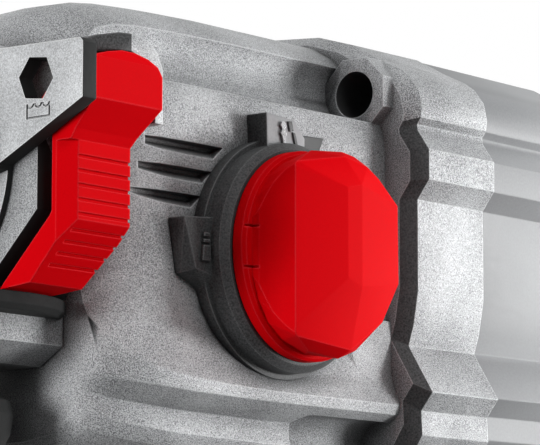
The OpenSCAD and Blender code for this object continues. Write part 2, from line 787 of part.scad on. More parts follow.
module field_coils() {
    color(copper) for (s = [-1, 1]) translate([0, 0, motor_z]) scale([1, s, 1]) difference() {
        box([core_start - 3, 21, -coil_half_z], [core_end + 3, coil_out, coil_half_z]);
        rod_x(core_start - 4, core_end + 4, stator_bore_r + 0.4);
    }
}
module brush_holders() {
    color(brass) both_sides() difference() {
        box([comm_start + 1, -motor_bore_r + 0.8, motor_z - 5.5],
            [comm_start + 11, -comm_r - 1.6, motor_z + 5.5]);
        box([comm_start + 2.8, -motor_bore_r, motor_z - 3.5],
            [comm_start + 9.2, -comm_r, motor_z + 3.5]);
    }
}
module brushes() {
    color(dark_grey) both_sides()
        box([comm_start + 2.9, -motor_bore_r + 8, motor_z - 3.4],
            [comm_start + 9.1, -comm_r - seat_gap, motor_z + 3.4]);
}
module motor_bearings() {
    color(steel) {
        ball_bearing(body_end + 6, body_end + 14, 12, 5 + run_gap, motor_z);
        ball_bearing(motor_end - 19, motor_end - 11, rear_bearing_r, 5 + run_gap, motor_z);
    }
}
module bearing_bracket() {
    color(casing_grey) difference() {
        union() {
            rod_x(body_end + 4, body_end + 8, bracket_r, 0, motor_z);
            rod_x(body_end + 4, body_end + 14, 15, 0, motor_z);
            rod_x(body_end + 4, body_end + 11, lay_hub_r, 0, layshaft_z);
        }
        rod_x(body_end + 3, body_end + 15, 12 + fit_gap, 0, motor_z);
        rod_x(body_end + 3, body_end + 12, lay_bearing_r, 0, layshaft_z);
    }
}

// ---------- D handle ----------

// Centre line in the X-Z plane: a top bridge, the hand grip and a lower bridge
bend_r = 24;
top_bridge_z = 29;
top_bridge_len = 60;
lean = 10;        // how far the hand grip's foot is raked to the rear
low_rise = 35;    // climb of the lower bridge towards the motor housing
low_bridge_len = 40;
shroud_len = 20;

// Section of the handle: t in the plane of the D, w across it
module handle_section(t, w, r) {
    square([t, w - 2 * r], center = true);
    square([t - 2 * r, w], center = true);
    for (i = [-1, 1]) for (j = [-1, 1])
        translate([i * (t / 2 - r), j * (w / 2 - r)]) circle(r = r);
}

// A pose on the centre line: [x, z, heading], heading 0 points to the rear
function ahead(p, len) = [p[0] + len * cos(p[2]), p[1] + len * sin(p[2]), p[2]];
function bend_middle(p) = [p[0] + bend_r * sin(p[2]), p[1] - bend_r * cos(p[2])];
function bent(p, a) = let (c = bend_middle(p), h = p[2] - a)
    [c[0] - bend_r * sin(h), c[1] + bend_r * cos(h), h];

bridge_start = [motor_end, top_bridge_z, 0];
bridge_rear = ahead(bridge_start, top_bridge_len);
grip_top = bent(bridge_rear, 90 - lean);
grip_foot = ahead(grip_top, hand_grip_len);
low_turn = 90 + low_rise + lean;
low_rear = bent(grip_foot, low_turn);
low_front = ahead(low_rear, low_bridge_len);
low_front_turn = 90 - low_rise;
low_up = bent(low_front, low_front_turn);
low_up_len = 12;

// Poses round a bend, its start left out
function bend_poses(p, a, n) = [for (i = [1:n]) bent(p, a * i / n)];

// Puts its children in the plane across the centre line: local z runs along it,
// local x points into the D
module at_pose(p) {
    translate([p[0], 0, p[1]]) rotate([0, 90 - p[2], 0]) children();
}

// Open outline of a rounded section from the D's inner side round one flank to its
// outer side, as [into the D, across]
function corner(x, w, r, a0) = [
    for (i = [0:corner_steps]) let (a = a0 + 90 * i / corner_steps) [x + r * cos(a), w + r * sin(a)]
];
function flank(t, w, r) = concat(
    [[t / 2, 0]], corner(t / 2 - r, w / 2 - r, r, 0),
    corner(-t / 2 + r, w / 2 - r, r, 90), [[-t / 2, 0]]
);
// Open outline round the outer side of a section, from one flank to the other
function back(t, w, r) = concat(
    [[0, w / 2]], corner(-t / 2 + r, w / 2 - r, r, 90),
    corner(-t / 2 + r, -w / 2 + r, r, 180), [[0, -w / 2]]
);
function reversed(list) = [for (i = [len(list) - 1:-1:0]) list[i]];
function placed(p, outline, side) = [
    for (q = outline) [p[0] + q[0] * sin(p[2]), side * q[1], p[1] - q[0] * cos(p[2])]
];

// Shell between an outer and an inner open outline, swept through poses
module shell_sweep(poses, outer, inner, side) {
    ring = side > 0 ? concat(inner, reversed(outer)) : concat(outer, reversed(inner));
    n = len(ring);
    m = len(poses);
    half = n / 2;
    polyhedron(
        points = [for (p = poses) each placed(p, ring, side)],
        faces = concat(
            [for (i = [0:half - 2]) each [[i + 1, i, n - 1 - i], [n - 2 - i, i + 1, n - 1 - i]]],
            [for (i = [0:half - 2]) let (o = (m - 1) * n)
                each [[o + i, o + i + 1, o + n - 1 - i], [o + i + 1, o + n - 2 - i, o + n - 1 - i]]],
            [for (j = [0:m - 2]) for (i = [0:n - 1]) let (k = (i + 1) % n)
                each [[j * n + i, j * n + k, (j + 1) * n + i],
                    [(j + 1) * n + i, j * n + k, (j + 1) * n + k]]]
        )
    );
}
corner_steps = 3;
grip_poses = concat(
    [bridge_rear], bend_poses(bridge_rear, 90 - lean, 6), [grip_foot]
);
// The whole D, from the shroud round the hand grip and back
loop_poses = concat(
    [bridge_start], grip_poses, bend_poses(grip_foot, low_turn, 10), [low_front],
    bend_poses(low_front, low_front_turn, 5), [ahead(low_up, low_up_len)]
);

gland_dir = bent(grip_foot, low_turn * 0.5)[2] + 90;
gland_middle = bend_middle(grip_foot);
module at_gland() {
    translate([gland_middle[0], 0, gland_middle[1]]) rotate([0, 90 - gland_dir, 0])
        translate([0, 0, bend_r]) children();
}

trigger_w = 18;
trigger_z0 = 5;
trigger_z1 = 43;
lock_z = 52;
handle_screw_places = [
    ahead(bridge_start, 40), ahead(grip_top, 66), ahead(low_rear, 14)
];
corner_r = 11;
module half_plane(side) {
    translate([-50, side < 0 ? -60 : 0]) square([100, 60]);
}
// Section at x of one side's half of the shroud
function half_section(x, kw, kz) = [for (p = whole(flange_half(), 0)) [x, p[0] * kw, p[1] * kz]];
shroud_end = motor_end + shroud_len;
module shroud(side) {
    scale([1, side, 1]) difference() {
        loft([
            half_section(motor_end, 0.93, 0.92),
            half_section(motor_end + shroud_len * 0.6, 0.86, 0.88),
            half_section(shroud_end, 0.70, 0.80)
        ]);
        loft([
            section(motor_end - 1, cavity_half(), 1, 0.93),
            section(shroud_end - shell_wall, cavity_half(), 0.80, 0.76)
        ]);
    }
}
module handle_half(side) {
    difference() {
        union() {
            shroud(side);
            shell_sweep(loop_poses, flank(handle_t, handle_w, corner_r),
                flank(handle_t - 2 * shell_wall, handle_w - 2 * shell_wall, corner_r - shell_wall), side);
            // cap on the foot of the lower bridge
            at_pose(ahead(low_up, low_up_len - shell_wall)) linear_extrude(shell_wall - 0.5)
                intersection() {
                    handle_section(handle_t - shell_wall, handle_w - shell_wall, corner_r - shell_wall / 2);
                    half_plane(side);
                }
            for (p = handle_screw_places)
                rod_y(side < 0 ? -handle_w / 2 + 1 : 0, side < 0 ? 0 : handle_w / 2 - 1, 4.2, p[0], p[1]);
        }
        // opening for the trigger
        at_pose(grip_top) box([handle_t / 2 - shell_wall - 3, -trigger_w / 2 - 0.4, trigger_z0 - 0.5],
            [handle_t / 2 + 3, trigger_w / 2 + 0.4, trigger_z1 + 0.5]);
        // seat of the cord inlet
        at_gland() cylinder(h = handle_t, r = inlet_r + fit_gap);
        for (p = handle_screw_places) {
            rod_y(-handle_w / 2 + shell_wall - 0.1, handle_w, 1.8, p[0], p[1]);
            rod_y(handle_w / 2 - 2.5, handle_w, 3.6, p[0], p[1]);
        }
    }
}
module handle_left() {
    color(motor_grey) difference() {
        handle_half(-1);
        at_pose(grip_top) translate([0, 0, lock_z]) rotate([90, 0, 0])
            cylinder(h = handle_w, r = lock_r + seat_gap);
    }
}
module handle_right() {
    color(motor_grey) handle_half(1);
}
module handle_screws() {
    color(steel) for (p = handle_screw_places) {
        rod_y(-handle_w / 2 + shell_wall, handle_w / 2 - 0.6, 1.7, p[0], p[1]);
        rod_y(handle_w / 2 - 2.4, handle_w / 2 - 0.6, 3.4, p[0], p[1]);
    }
}

// Soft skin round the rear of the hand grip
pad_t = 1.6;
module grip_pad() {
    color(rubber_black) difference() {
        shell_sweep(grip_poses, back(handle_t + 2 * pad_t, handle_w + 2 * pad_t, corner_r + pad_t),
            back(handle_t + 2 * fit_gap, handle_w + 2 * fit_gap, corner_r + fit_gap), 1);
        for (p = handle_screw_places) rod_y(-handle_w, handle_w, 4, p[0], p[1]);
        at_pose(grip_top) translate([0, 0, lock_z]) rotate([90, 0, 0])
            cylinder(h = handle_w, r = lock_r + seat_gap);
    }
}

inlet_r = 8;
module cord_inlet() {
    color(rubber_black) at_gland() difference() {
        union() {
            translate([0, 0, handle_t / 2 - 4]) cylinder(h = 8, r = inlet_r);
            translate([0, 0, handle_t / 2 + 0.6]) cylinder(h = 3, r1 = inlet_r + 1.6, r2 = inlet_r + 1);
            translate([0, 0, handle_t / 2 + 3]) cylinder(h = 7, r1 = inlet_r, r2 = inlet_r - 2);
        }
        cylinder(h = handle_t * 2, r = 3.6);
    }
}

module trigger() {
    color(signal_red) at_pose(grip_top) rotate([90, 0, 0]) translate([0, 0, -trigger_w / 2])
        linear_extrude(trigger_w) polygon([
            [2, trigger_z0 + 1], [2, trigger_z1 - 1], [handle_t / 2 + 1, trigger_z1 - 1],
            [handle_t / 2 + 7, trigger_z1 - 4], [handle_t / 2 + 9.4, trigger_z1 - 10],
            [handle_t / 2 + 9, trigger_z0 + 18], [handle_t / 2 + 7.6, trigger_z0 + 10],
            [handle_t / 2 + 4.5, trigger_z0 + 3], [handle_t / 2 + 1, trigger_z0 + 1]
        ]);
}
switch_x = -handle_t / 2 + shell_wall + seat_gap;
module switch_body() {
    color(rubber_black) at_pose(grip_top)
        box([switch_x, -6.4, trigger_z0 + 1], [2 - trigger_travel - 0.6, 6.4, trigger_z1 - 1]);
}
lock_r = 5;
lock_travel = 2.5;
module lock_button() {
    proud = lock_travel + 0.5;
    color(dark_grey) at_pose(grip_top)
        translate([0, -handle_w / 2 - proud, lock_z]) rotate([-90, 0, 0]) {
        translate([0, 0, 0.8]) cylinder(h = 9, r = lock_r);
        cylinder(h = 0.8, r1 = lock_r - 0.8, r2 = lock_r);
    }
}

// ---------- side handle ----------

clamp_end = body_start - 0.6;
clamp_start = clamp_end - clamp_len;
plate_t = 4;
plate_end = clamp_start + plate_t;
clamp_x = (clamp_start + clamp_end) / 2;
band_x0 = plate_end + 0.6;
band_x1 = band_x0 + 16;
grip_x = band_x0 + 4.8;
base_neck_r = 13;
neck_r = neck_d / 2;
band_t = 1.6;
gauge_n = 40;
gauge_z = 15;
base_n = 36.8;
base_floor = -46.4;
button_n = 40.4;
button_face = 45.6;
tongue_end = -33.6;
tongue_floor = tongue_end + button_travel + 2;

module gauge_hole() {
    rotate(7) circle(r = gauge_af / 2 / cos(30), $fn = 6);
}

// Front plate: the wing with the gauge hole and the panel below it
module side_clamp_front() {
    color(casing_grey) difference() {
        along_x(clamp_start, plate_end) difference() {
            union() {
                circle(r = neck_r + 6);
                polygon([
                    [-10, 28.5], [-28, 22.4], [-52.2, 21.9], [-53, 21], [-53, 9.7],
                    [-29.6, -1.6], [-20, -2], [0, -6]
                ]);
            }
            translate([-gauge_n, gauge_z]) gauge_hole();
        }
        rod_x(clamp_start - 1, plate_end + 1, neck_r + seat_gap);
        translate([grip_x, 0, base_floor]) cylinder(h = 21, r = base_neck_r + fit_gap);
        // hollow under the wing, ahead of the lower panel
        along_x(clamp_start - 1, plate_end - 1.5) polygon([
            [-60, -9], [-41, -0.2], [-22, -4.2], [-16, -4], [-18, -40], [-60, -40]
        ]);
        // engraved sign of a depth gauge below its hole
        along_x(clamp_start - 1, clamp_start + 0.35) gauge_sign();
    }
}
// Line drawing of a notched rule
module gauge_sign() {
    line = 0.4;
    w = 6.6;
    translate([-gauge_n - 4, gauge_z - 8.3]) difference() {
        gauge_rule(0, w);
        gauge_rule(line, w);
    }
}
module gauge_rule(inset, w) {
    difference() {
        translate([inset, inset]) square([w - 2 * inset, 3.1 - 2 * inset]);
        for (i = [0:2]) translate([w * (i + 0.5) / 3, 3.1]) circle(r = 0.7 + inset, $fn = 8);
    }
}

function clamp_outline() = [
    [-10, 28.5], [-28, 22.4], [-36, 21.9], [-base_n, 21], [-base_n, -11],
    [-21.5, -26.3], [-21.5, -36], [-15, -40], [0, -40]
];
// The release button seen from the left, as [x, z]: a rounded head over a straight pad
button_x0 = plate_end + 0.5;
button_x1 = clamp_end - 3;
function button_face_outline(grow) = [
    [button_x0 - grow, 7], [button_x0 - grow, 19.1 + grow], [button_x0 + 4.4, 20.4 + grow],
    [button_x0 + 9, 21.3 + grow], [button_x0 + 12.7, 21.3 + grow],
    [button_x1 - 3.8 + grow / 2, 20.4 + grow], [button_x1 - 1.4 + grow, 19.1 + grow / 2],
    [button_x1 + grow, 17.2], [button_x1 + grow, 7]
];
module side_clamp_base() {
    color(casing_grey) difference() {
        union() {
            along_x(plate_end, clamp_end) union() {
                circle(r = neck_r + 6);
                polygon(clamp_outline());
            }
            // arched hood over the button's head; its front part leans back to the front plate
            intersection() {
                along_y(-52, -30) polygon([
                    [plate_end, 8], [plate_end, 22.4], [plate_end + 5.6, 24.4], [plate_end + 10, 25.3],
                    [plate_end + 15, 25.3], [clamp_end - 4.6, 24.6], [clamp_end - 1.8, 22.6],
                    [clamp_end, 19.2], [clamp_end, 8]
                ]);
                translate([0, 0, 8]) linear_extrude(20) polygon([
                    [plate_end, -30], [plate_end, -46.4], [plate_end + 12.8, -50.8],
                    [clamp_end, -49.4], [clamp_end, -30]
                ]);
            }
            translate([grip_x, 0, base_floor]) cylinder(h = 20, r = base_neck_r);
        }
        rod_x(clamp_start, clamp_end + 1, neck_r + seat_gap);
        rod_x(band_x0 - fit_gap, band_x1 + fit_gap, neck_r + run_gap + band_t + fit_gap);
        // pocket for the button's head, closed at the rear by the gauge guide
        along_y(-60, -30.6) union() {
            polygon(button_face_outline(seat_gap));
            translate([plate_end - 1, 7]) square([2, 12.4]);
        }
        along_x(clamp_start, clamp_end + 1) translate([-gauge_n, gauge_z]) gauge_hole();
        // guide of the button's tongue
        box([clamp_x - 4, -60, -8.4], [clamp_x + 4, tongue_floor, -1.6]);
        // clamp bolt
        translate([grip_x, 0, base_floor - 1]) cylinder(h = 30, r = 4.1);
        box([band_x0 - fit_gap, -6.2, -31], [band_x1 + fit_gap, 6.2, -20]);
    }
}

// Rubber guard between the clamp and the side grip
guard_r = 29;
guard_top = -26.9;
module hand_guard() {
    color(rubber_black) difference() {
        intersection() {
            translate([grip_x, 0, guard_top - 3.6]) union() {
                cylinder(h = 1.2, r1 = guard_r - 1.2, r2 = guard_r);
                translate([0, 0, 1.2]) cylinder(h = 2.4, r = guard_r);
            }
            box([grip_x - guard_r - 1, -guard_r - 1, guard_top - 5],
                [clamp_end - fit_gap, guard_r + 1, guard_top + 1]);
        }
        along_x(clamp_start - fit_gap, clamp_end + 1) union() {
            circle(r = neck_r + 6 + fit_gap);
            translate([-21.5 - fit_gap, -45]) square([43 + 2 * fit_gap, 30]);
        }
        translate([grip_x, 0, base_floor]) cylinder(h = 20, r = base_neck_r + fit_gap);
    }
}

module clamp_band() {
    color(steel) difference() {
        union() {
            rod_x(band_x0, band_x1, neck_r + run_gap + band_t);
            box([band_x0, -6, -30.4], [band_x1, 6, -20]);
        }
        rod_x(band_x0 - 1, band_x1 + 1, neck_r + run_gap);
        translate([grip_x, 0, -40]) cylinder(h = 20, r = 4.02);
        box([band_x0 - 1, -4.6, -28], [band_x1 + 1, 4.6, -22]);
    }
}
grip_top_z = base_floor - 0.3;
bolt_foot = grip_top_z - 24;
module clamp_bolt() {
    color(steel) translate([grip_x, 0, 0]) {
        translate([0, 0, -27.9]) cylinder(h = 2.6, r = 4.5);
        translate([0, 0, bolt_foot]) cylinder(h = -bolt_foot - 27, r = 4);
    }
}

// Release button: a rounded head beside the gauge hole, a ribbed pad and its tucked-in foot
rib_pitch = 2.95;
pad_x1 = button_x0 + 17.8;
module gauge_button() {
    color(signal_red) difference() {
        intersection() {
            union() {
                // head, scooped below into the pad
                along_x(button_x0, button_x1) polygon([
                    [-38, 22], [-51, 22], [-52, 19], [-52, 10.4], [-50.4, 8.6], [-48.6, 6.6],
                    [-46.9, 4.6], [-button_face, 2.6], [-button_face, -13.6], [-36.8, -23.2],
                    [-34.5, -25.8], [-26, -26.6], [-27, -25.4], [-39.8, -12.6], [-button_n, -11.6],
                    [-button_n, 7.7], [-38, 7.7]
                ]);
                box([clamp_x - 3.6, -42, -8], [clamp_x + 3.6, tongue_end, -2]);
            }
            // outline seen from the left
            along_y(-60, -20) polygon(concat(
                [[button_x0, -30]], [for (i = [1:7]) button_face_outline(0)[i]],
                [[button_x1, 10.6], [pad_x1, 2.8], [pad_x1, -17], [pad_x1 - 3.5, -30]]
            ));
        }
        // room for the gauge beside the locking lug
        difference() {
            box([plate_end - 1, -45.6, 9.6], [clamp_end + 1, -20, 30]);
            box([plate_end - 1, -45.7, 9], [plate_end + 6, -43.3, 11.8]);
        }
        // bevelled front strip of the pad
        translate([0, 0, -30]) linear_extrude(32.6)
            polygon([[button_x0 - 1, -39.8], [button_x0 - 1, -60], [button_x0 + 2.3, -button_face]]);
        // grooves between the ribs
        for (i = [0:button_ribs - 1]) rib_groove(i, button_x0 + 2.4, pad_x1);
    }
}
// The ribs run down the upright face, then along the sloping foot
module rib_groove(i, x0, x1) {
    upright = 5;
    at = i < upright ? [-button_face, -0.6 - i * rib_pitch]
        : [-button_face + (i - upright + 0.9) * 2.05, -13.6 - (i - upright + 0.9) * 2.2];
    turn = i < upright ? 0 : 43;
    translate([x0, at[0], at[1]]) rotate([turn, 0, 0])
        translate([0, -1, -0.35]) cube([x1 - x0 + 2, 1.55, 0.7]);
}
module button_spring() {
    color(steel) rod_y(tongue_end + fit_gap, tongue_floor - fit_gap, 2.6, clamp_x, -5);
}

side_grip_r = side_grip_d / 2;
module side_grip() {
    foot = grip_top_z - side_grip_len;
    color(rubber_black) translate([grip_x, 0, 0]) difference() {
        rotate_extrude() polygon([
            [0, grip_top_z], [15.5, grip_top_z], [17.6, grip_top_z - 1], [18.3, grip_top_z - 4],
            [17.6, grip_top_z - 8], [side_grip_r - 1.6, grip_top_z - 12],
            [side_grip_r - 1, grip_top_z - 20], [side_grip_r, grip_top_z - side_grip_len * 0.4],
            [side_grip_r + 0.4, grip_top_z - side_grip_len * 0.6], [side_grip_r - 1.4, foot + 22],
            [side_grip_r - 1, foot + 12], [side_grip_r + 1.3, foot + 7], [side_grip_r + 1, foot + 3],
            [side_grip_r - 2, foot], [0, foot]
        ]);
        translate([0, 0, bolt_foot - 4]) cylinder(h = 60, r = 4.4);
        translate([0, 0, grip_top_z - 8]) cylinder(h = 20, r = 8.02 / cos(30), $fn = 6);
    }
}
module grip_nut() {
    color(steel) translate([grip_x, 0, grip_top_z - 7.9]) difference() {
        cylinder(h = 7, r = 8 / cos(30), $fn = 6);
        translate([0, 0, -1]) cylinder(h = 10, r = 4.06);
    }
}

gear_housing();
selector_collar();
flange_housing();
motor_housing();
handle_left();
handle_right();
grip_pad();
housing_screws();
handle_screws();
neck_bush();
nose_seal();
spindle_bearing();
layshaft_bearings();
inner_frame();
bearing_bracket();
motor_bearings();
stator_core();
field_coils();
brush_holders();
brushes();
switch_body();
cord_inlet();
spindle();
spindle_gear();
dust_cap();
locking_balls();
sleeve_spring();
locking_sleeve();
layshaft();
layshaft_gear();
clutch_sleeve();
wobble_drum();
wobble_ring();
piston();
piston_pin();
striker();
impact_bolt();
motor_shaft();
armature_core();
commutator();
cooling_fan();
mode_knob();
mode_shaft();
trigger();
lock_button();
side_clamp_front();
side_clamp_base();
clamp_band();
clamp_bolt();
hand_guard();
gauge_button();
button_spring();
side_grip();
grip_nut();
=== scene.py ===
"""Looks of an in-line rotary hammer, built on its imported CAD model. Metres."""
import json
import math

import bmesh
import bpy
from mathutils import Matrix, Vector


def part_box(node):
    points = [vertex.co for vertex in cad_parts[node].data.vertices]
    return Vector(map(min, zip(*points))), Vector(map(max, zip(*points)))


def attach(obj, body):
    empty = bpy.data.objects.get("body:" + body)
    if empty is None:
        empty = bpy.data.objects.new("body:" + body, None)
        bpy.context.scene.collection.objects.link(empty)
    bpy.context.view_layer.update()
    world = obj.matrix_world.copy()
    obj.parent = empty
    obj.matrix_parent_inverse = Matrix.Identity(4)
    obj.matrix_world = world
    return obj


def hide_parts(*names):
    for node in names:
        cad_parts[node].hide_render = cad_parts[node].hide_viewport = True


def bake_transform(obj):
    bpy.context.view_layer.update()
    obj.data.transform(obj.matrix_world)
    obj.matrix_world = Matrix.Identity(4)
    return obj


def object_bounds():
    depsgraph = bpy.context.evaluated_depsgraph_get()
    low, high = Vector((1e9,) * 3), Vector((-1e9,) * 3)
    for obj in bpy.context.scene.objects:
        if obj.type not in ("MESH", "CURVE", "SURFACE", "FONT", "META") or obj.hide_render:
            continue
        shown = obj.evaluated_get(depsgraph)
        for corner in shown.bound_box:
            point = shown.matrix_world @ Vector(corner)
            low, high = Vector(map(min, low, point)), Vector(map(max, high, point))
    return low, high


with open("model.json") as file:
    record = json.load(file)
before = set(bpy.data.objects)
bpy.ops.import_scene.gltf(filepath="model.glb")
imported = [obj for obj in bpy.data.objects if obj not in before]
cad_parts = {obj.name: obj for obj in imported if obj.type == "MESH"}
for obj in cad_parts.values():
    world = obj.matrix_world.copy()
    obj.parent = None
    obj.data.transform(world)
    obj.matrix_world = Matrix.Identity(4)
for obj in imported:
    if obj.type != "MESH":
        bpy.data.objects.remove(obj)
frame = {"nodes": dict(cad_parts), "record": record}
CAD_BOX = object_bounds()
MM = 0.001
NODES = frame["nodes"]
RECORD = frame["record"]
BODY = {node: body for body, nodes in RECORD["behaviour"]["bodies"].items() for node in nodes}
SLOT = {subpart["node"]: subpart["material_slot"] for subpart in RECORD["subparts"]}


def in_scene(name, data):
    """An object with this mesh, lamp or lens, put in the scene."""
    made = bpy.data.objects.new(name, data)
    bpy.context.scene.collection.objects.link(made)
    return made


def meshed(name, work):
    """The finished mesh of a bmesh, which is freed."""
    mesh = bpy.data.meshes.new(name)
    work.to_mesh(mesh)
    work.free()
    return mesh


# ---------- materials ----------

def linear(code):
    """An sRGB hex colour as linear RGBA."""
    values = [int(code[i:i + 2], 16) / 255 for i in (1, 3, 5)]
    return [v / 12.92 if v <= 0.04045 else ((v + 0.055) / 1.055) ** 2.4 for v in values] + [1.0]


def add(tree, kind, inputs=None, **settings):
    """A node with its settings; each input takes a value or another node's output."""
    made = tree.nodes.new(kind)
    for key, value in settings.items():
        setattr(made, key, value)
    for key, value in (inputs or {}).items():
        if isinstance(value, bpy.types.NodeSocket):
            tree.links.new(value, made.inputs[key])
        else:
            made.inputs[key].default_value = value
    return made


def material(name):
    """A new material, its tree and its object coordinates."""
    made = bpy.data.materials.new(name)
    made.use_nodes = True
    tree = made.node_tree
    tree.nodes.clear()
    place = add(tree, "ShaderNodeTexCoord").outputs["Object"]
    return made, tree, place


def blended(tree, factor, first, second):
    """A colour between two colours; each is linear RGBA or another node's output."""
    mix = add(tree, "ShaderNodeMix", {"Factor": factor}, data_type="RGBA")
    for socket, value in zip([s for s in mix.inputs if s.type == "RGBA"], (first, second)):
        if isinstance(value, bpy.types.NodeSocket):
            tree.links.new(value, socket)
        else:
            socket.default_value = value
    return [s for s in mix.outputs if s.type == "RGBA"][0]


PATCH_MM = 18               # width of the faint cloudy patches under the grain
PATCH_SHARE = 0.25          # how much a patch counts beside the grain
MIDDLE = (1 + PATCH_SHARE) / 2
SHADE_TONE = "#050505"           # painted shade in recesses, nearly black
DEEP, OPEN = 0.25, 0.9      # how open a recess in full painted shade and an unshaded face are
SHARP, FLAT = 0.93, 0.985   # how well a corner's and a face's rounded normal match the true one
ROUND_MM = 0.5              # radius that light sees on every corner
SHEEN_AND_WEAR_SHARE = 0.8            # how far a corner turns to its edge colour, as painted highlight and worn lacquer
EDGE_REACH_MM = 1.5         # how far away a wall makes an edge an inside corner
INNER, OUTER = 0.8, 0.95    # how open an inside corner and an outside corner are
LOW_GRAIN, HIGH_GRAIN = 0.3, 0.7    # the grain's usual low and high
GLOSSIER, DULLER = 0.06, 0.08       # how far roughness goes down and up with the grain


def grained(name, dark, light, grain_mm, bump_mm, roughness, metallic, specular=0.5,
            contrast=0.3, edge=None, grime=0.0, grime_mm=7):
    """A surface with fine grain: two tones and a bump of the same pattern.

    A low contrast number sets the two tones further apart. edge is the colour of its
    outside corners, a painted highlight that also stands for rubbed lacquer. The painted
    shade number is the share of light taken from its recesses, and the shade reach in mm how
    wide a recess may be to be darkened.
    """
    made, tree, place = material(name)
    grain = add(tree, "ShaderNodeTexNoise", {
        "Vector": place, "Scale": 1 / (grain_mm * MM), "Detail": 3.0, "Roughness": 0.6})
    patches = add(tree, "ShaderNodeTexNoise", {
        "Vector": place, "Scale": 1 / (PATCH_MM * MM), "Detail": 2.0, "Roughness": 0.5})
    both = add(tree, "ShaderNodeMath", {
        0: patches.outputs["Fac"], 1: PATCH_SHARE, 2: grain.outputs["Fac"]},
        operation="MULTIPLY_ADD")
    spread = add(tree, "ShaderNodeMapRange", {
        "Value": both.outputs["Value"], "From Min": MIDDLE - contrast,
        "From Max": MIDDLE + contrast, "To Min": 0.0, "To Max": 1.0})
    tone = blended(tree, spread.outputs["Result"], linear(dark), linear(light))
    rounded = add(tree, "ShaderNodeBevel", {"Radius": ROUND_MM * MM}, samples=4)
    # painted shade: recesses darkened towards near black, as far as ambient occlusion finds
    # them closed in
    if grime:
        depth = add(tree, "ShaderNodeAmbientOcclusion", {"Distance": grime_mm * MM}, samples=6)
        shade_amount = add(tree, "ShaderNodeMapRange", {
            "Value": depth.outputs["AO"], "From Min": DEEP, "From Max": OPEN,
            "To Min": grime, "To Max": 0.0})
        tone = blended(tree, shade_amount.outputs["Result"], tone, linear(SHADE_TONE))
    # painted highlight with worn lacquer: outside corners lightened towards the edge colour
    if edge:
        surface = add(tree, "ShaderNodeNewGeometry").outputs["Normal"]
        match = add(tree, "ShaderNodeVectorMath", {0: surface, 1: rounded.outputs["Normal"]},
                    operation="DOT_PRODUCT")
        sheen_and_wear = add(tree, "ShaderNodeMapRange", {
            "Value": match.outputs["Value"], "From Min": FLAT, "From Max": SHARP,
            "To Min": 0.0, "To Max": SHEEN_AND_WEAR_SHARE})
        outward = add(tree, "ShaderNodeAmbientOcclusion", {"Distance": EDGE_REACH_MM * MM},
                      samples=4)
        convex = add(tree, "ShaderNodeMapRange", {
            "Value": outward.outputs["AO"], "From Min": INNER, "From Max": OUTER,
            "To Min": 0.0, "To Max": 1.0})
        shown = add(tree, "ShaderNodeMath", {
            0: sheen_and_wear.outputs["Result"], 1: convex.outputs["Result"]}, operation="MULTIPLY")
        tone = blended(tree, shown.outputs["Value"], tone, linear(edge))
    rough = add(tree, "ShaderNodeMapRange", {
        "Value": grain.outputs["Fac"], "From Min": LOW_GRAIN, "From Max": HIGH_GRAIN,
        "To Min": roughness - GLOSSIER, "To Max": roughness + DULLER})
    bump = add(tree, "ShaderNodeBump", {
        "Strength": 1.0, "Distance": bump_mm * MM, "Height": grain.outputs["Fac"],
        "Normal": rounded.outputs["Normal"]})
    shader = add(tree, "ShaderNodeBsdfPrincipled", {
        "Base Color": tone, "Metallic": metallic, "Roughness": rough.outputs["Result"],
        "Specular IOR Level": specular, "Normal": bump.outputs["Normal"]})
    add(tree, "ShaderNodeOutputMaterial", {"Surface": shader.outputs["BSDF"]})
    return made


